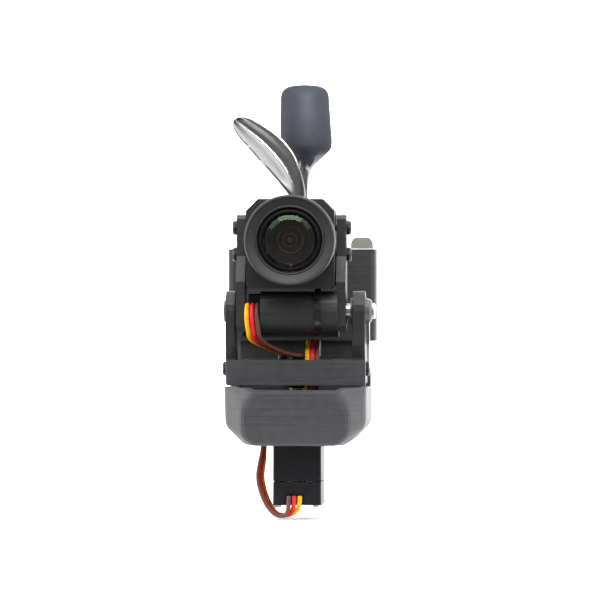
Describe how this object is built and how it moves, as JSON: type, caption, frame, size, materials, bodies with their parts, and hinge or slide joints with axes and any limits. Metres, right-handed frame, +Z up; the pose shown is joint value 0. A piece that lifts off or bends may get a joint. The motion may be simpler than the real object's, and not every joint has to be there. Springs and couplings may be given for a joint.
{
  "type": "pan tilt camera mount",
  "caption": "Two-axis servo mount that pans and tilts a small video camera, with its video module and aerial on a rear cradle.",
  "frame": {"origin": "on the pan axis, in the plane of the base's underside", "axes": "+Z up along the pan axis, -Y the way the camera looks, +X to the viewer's right when facing the lens"},
  "size_m": [0.037, 0.058, 0.1048],
  "materials": {
    "printed_plastic": "fused filament print, black-grey, fine layer lines",
    "servo_plastic": "moulded nylon, black, satin",
    "camera_shell": "fine matt camera housing",
    "gloss_black": "glossy black",
    "lens_glass": "coated lens glass",
    "black_steel": "black oxide steel",
    "bright_steel": "zinc plated steel",
    "brass": "turned brass",
    "white_nylon": "white nylon",
    "module_black": "anodised housing",
    "beige_cap": "soft beige grey plastic",
    "moulded_grey": "moulded dark grey, satin",
    "circuit_board": "green board",
    "brown_wire": "brown wire sleeve",
    "red_wire": "red wire sleeve",
    "yellow_wire": "yellow wire sleeve"
  },
  "bodies": {
    "base": {"base_fairing": "printed_plastic", "rear_cradle": "printed_plastic", "pan_servo_case": "servo_plastic", "pan_servo_gear_cover": "servo_plastic", "pan_servo_bottom_cover": "servo_plastic", "pan_servo_tab_screw_1": "black_steel", "pan_servo_tab_screw_2": "black_steel", "cradle_screw_left": "black_steel", "cradle_screw_right": "black_steel", "pan_servo_motor": "bright_steel", "pan_servo_case_screw_1": "bright_steel", "pan_servo_case_screw_2": "bright_steel", "pan_servo_case_screw_3": "bright_steel", "pan_servo_case_screw_4": "bright_steel", "video_module_case": "module_black", "video_module_heat_sink": "module_black", "post_cap": "beige_cap", "aerial_upright_arm": "moulded_grey", "aerial_side_arm": "moulded_grey", "pan_servo_board": "circuit_board", "pan_lead_brown": "brown_wire", "pan_lead_red": "red_wire", "pan_lead_yellow": "yellow_wire"},
    "pan": {"pan_output_shaft": "brass", "pan_platform": "printed_plastic", "pan_servo_horn": "servo_plastic", "pan_horn_screw": "black_steel", "horn_fixing_screw_1": "black_steel", "horn_fixing_screw_2": "black_steel", "yoke_arm_left": "printed_plastic", "yoke_arm_right": "printed_plastic", "yoke_screw_left": "black_steel", "yoke_screw_right": "black_steel", "tilt_horn": "white_nylon", "tilt_horn_screw": "bright_steel", "tilt_output_shaft": "bright_steel", "tilt_pivot_pin": "black_steel", "tilt_lead_brown": "brown_wire", "tilt_lead_red": "red_wire", "tilt_lead_yellow": "yellow_wire"},
    "tilt": {"tilt_frame": "printed_plastic", "tilt_servo_case": "servo_plastic", "tilt_servo_gear_cover": "servo_plastic", "tilt_servo_bottom_cover": "servo_plastic", "tilt_servo_motor": "bright_steel", "tilt_servo_board": "circuit_board", "camera_body": "camera_shell", "camera_back_cover": "camera_shell", "lens_hood": "camera_shell", "lens_barrel": "gloss_black", "front_lens": "lens_glass", "inner_lens": "lens_glass", "image_sensor_board": "circuit_board", "camera_screw_left_upper": "black_steel", "camera_screw_left_lower": "black_steel", "camera_screw_right_upper": "black_steel", "camera_screw_right_lower": "black_steel", "cable_tie": "gloss_black"}
  },
  "joints": [
    {"name": "pan", "type": "hinge", "parent": "base", "child": "pan", "pos_m": [0, 0, 0], "axis": [0, 0, 1], "range_deg": [-90, 90]},
    {"name": "tilt", "type": "hinge", "parent": "pan", "child": "tilt", "pos_m": [0, -0.006, 0.0322], "axis": [1, 0, 0], "range_deg": [-20, 50], "deforming": ["tilt_lead_brown", "tilt_lead_red", "tilt_lead_yellow"]}
  ]
}
